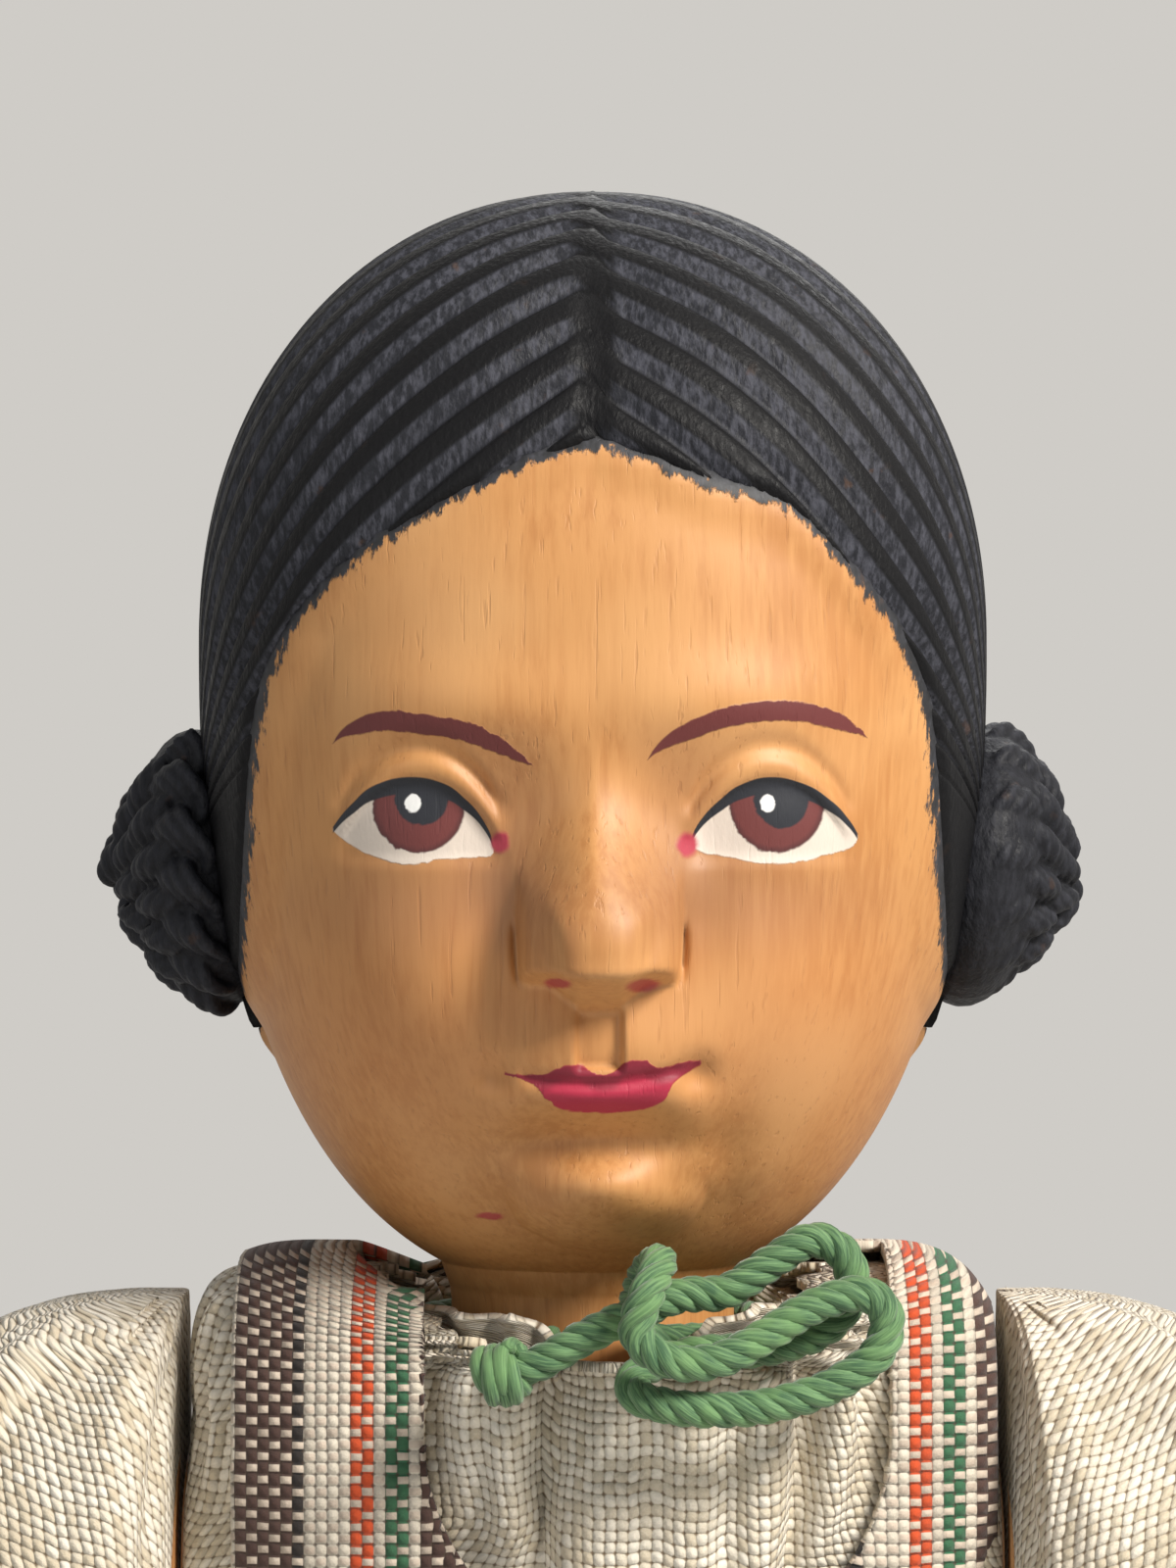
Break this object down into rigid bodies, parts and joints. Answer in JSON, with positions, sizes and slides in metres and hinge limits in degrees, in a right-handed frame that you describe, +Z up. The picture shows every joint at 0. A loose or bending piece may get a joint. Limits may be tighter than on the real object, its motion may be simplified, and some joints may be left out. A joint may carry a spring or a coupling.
{
  "type": "pegged wooden doll",
  "caption": "Carved and painted wooden doll with pegged arms, legs and turning head, in a linen blouse and a striped sleeveless dress with a green neck cord.",
  "frame": {"origin": "middle of the doll's footprint on the surface that it stands on", "axes": "+Z up, the doll faces -Y, and its left side is at +X"},
  "size_m": [0.0994, 0.0618, 0.31],
  "materials": {
    "skin_wood": "varnished carved wood",
    "hair_paint": "glossy black paint on carved wood",
    "peg_wood": "plain turned dowel",
    "linen": "plain woven linen",
    "stripe_cloth": "striped plain weave",
    "cord": "twisted yarn cord"
  },
  "bodies": {
    "torso": {"torso": "skin_wood", "hip_peg": "peg_wood", "blouse": "linen", "collar": "linen", "bodice": "stripe_cloth", "waistband": "stripe_cloth", "neck_cord": "cord"},
    "head": {"head": "skin_wood", "left_hair_bun": "hair_paint", "right_hair_bun": "hair_paint", "neck_peg": "peg_wood"},
    "left_arm": {"left_upper_arm": "skin_wood", "left_shoulder_peg": "peg_wood", "left_elbow_peg": "peg_wood", "left_sleeve": "linen", "left_sleeve_band": "linen"},
    "left_forearm": {"left_forearm": "skin_wood"},
    "left_thigh": {"left_thigh": "skin_wood", "left_knee_peg": "peg_wood", "left_skirt": "stripe_cloth"},
    "left_lower_leg": {"left_lower_leg": "skin_wood"},
    "right_arm": {"right_upper_arm": "skin_wood", "right_shoulder_peg": "peg_wood", "right_elbow_peg": "peg_wood", "right_sleeve": "linen", "right_sleeve_band": "linen"},
    "right_forearm": {"right_forearm": "skin_wood"},
    "right_thigh": {"right_thigh": "skin_wood", "right_knee_peg": "peg_wood", "right_skirt": "stripe_cloth"},
    "right_lower_leg": {"right_lower_leg": "skin_wood"}
  },
  "joints": [
    {"name": "head_turn", "type": "hinge", "parent": "torso", "child": "head", "pos_m": [0, 0, 0.236], "axis": [0, 0, 1], "range_deg": [-40, 40]},
    {"name": "left_shoulder", "type": "hinge", "parent": "torso", "child": "left_arm", "pos_m": [0.0316, 0, 0.223], "axis": [-1, 0, 0], "range_deg": [-60, 120]},
    {"name": "left_elbow", "type": "hinge", "parent": "left_arm", "child": "left_forearm", "pos_m": [0.03817, 0, 0.18152], "axis": [-0.9877, 0, -0.1564], "range_deg": [0, 90]},
    {"name": "left_hip", "type": "hinge", "parent": "torso", "child": "left_thigh", "pos_m": [0.0135, 0, 0.14], "axis": [-1, 0, 0], "range_deg": [-15, 90], "deforming": ["left_skirt"]},
    {"name": "left_knee", "type": "hinge", "parent": "left_thigh", "child": "left_lower_leg", "pos_m": [0.0135, 0, 0.076], "axis": [1, 0, 0], "range_deg": [0, 90]},
    {"name": "right_shoulder", "type": "hinge", "parent": "torso", "child": "right_arm", "pos_m": [-0.0316, 0, 0.223], "axis": [-1, 0, 0], "range_deg": [-60, 120]},
    {"name": "right_elbow", "type": "hinge", "parent": "right_arm", "child": "right_forearm", "pos_m": [-0.03817, 0, 0.18152], "axis": [-0.9877, 0, 0.1564], "range_deg": [0, 90]},
    {"name": "right_hip", "type": "hinge", "parent": "torso", "child": "right_thigh", "pos_m": [-0.0135, 0, 0.14], "axis": [-1, 0, 0], "range_deg": [-15, 90], "deforming": ["right_skirt"]},
    {"name": "right_knee", "type": "hinge", "parent": "right_thigh", "child": "right_lower_leg", "pos_m": [-0.0135, 0, 0.076], "axis": [1, 0, 0], "range_deg": [0, 90]}
  ]
}
